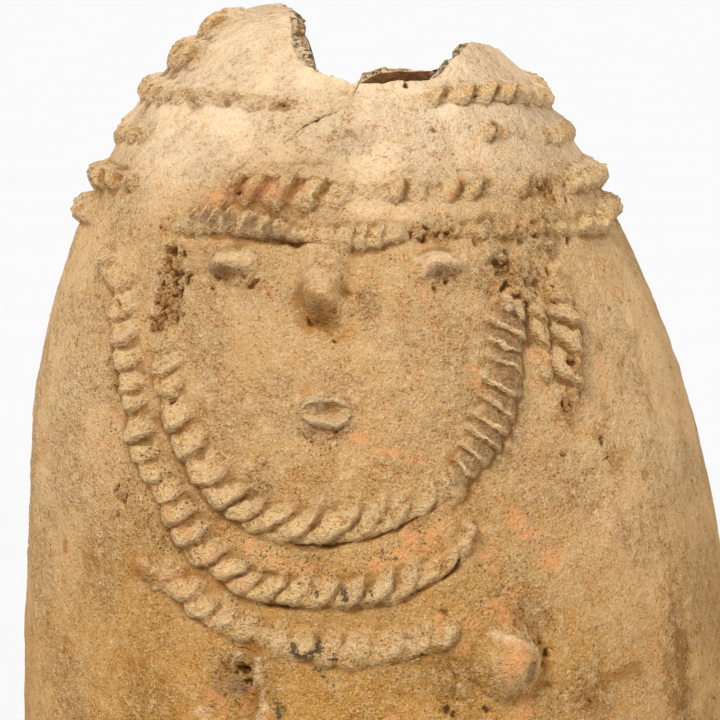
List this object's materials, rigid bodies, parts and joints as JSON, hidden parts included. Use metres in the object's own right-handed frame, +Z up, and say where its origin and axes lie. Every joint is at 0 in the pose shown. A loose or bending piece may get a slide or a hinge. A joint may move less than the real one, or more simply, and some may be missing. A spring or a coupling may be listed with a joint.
{
  "type": "anthropomorphic funerary urn",
  "caption": "Hollow hand-built terracotta urn with a broken open top, pinched clay strips as headdress and necklaces, a small applied face and one breast.",
  "frame": {"origin": "centre of the flat underside", "axes": "+Z up along the urn's height; the face looks towards -Y; +X is to the viewer's right when facing it"},
  "size_m": [0.3249, 0.3252, 0.5516],
  "materials": {
    "fired_clay": "dry, sandy, unglazed terracotta with earth stains"
  },
  "bodies": {
    "root": {"urn": "fired_clay"}
  },
  "joints": []
}
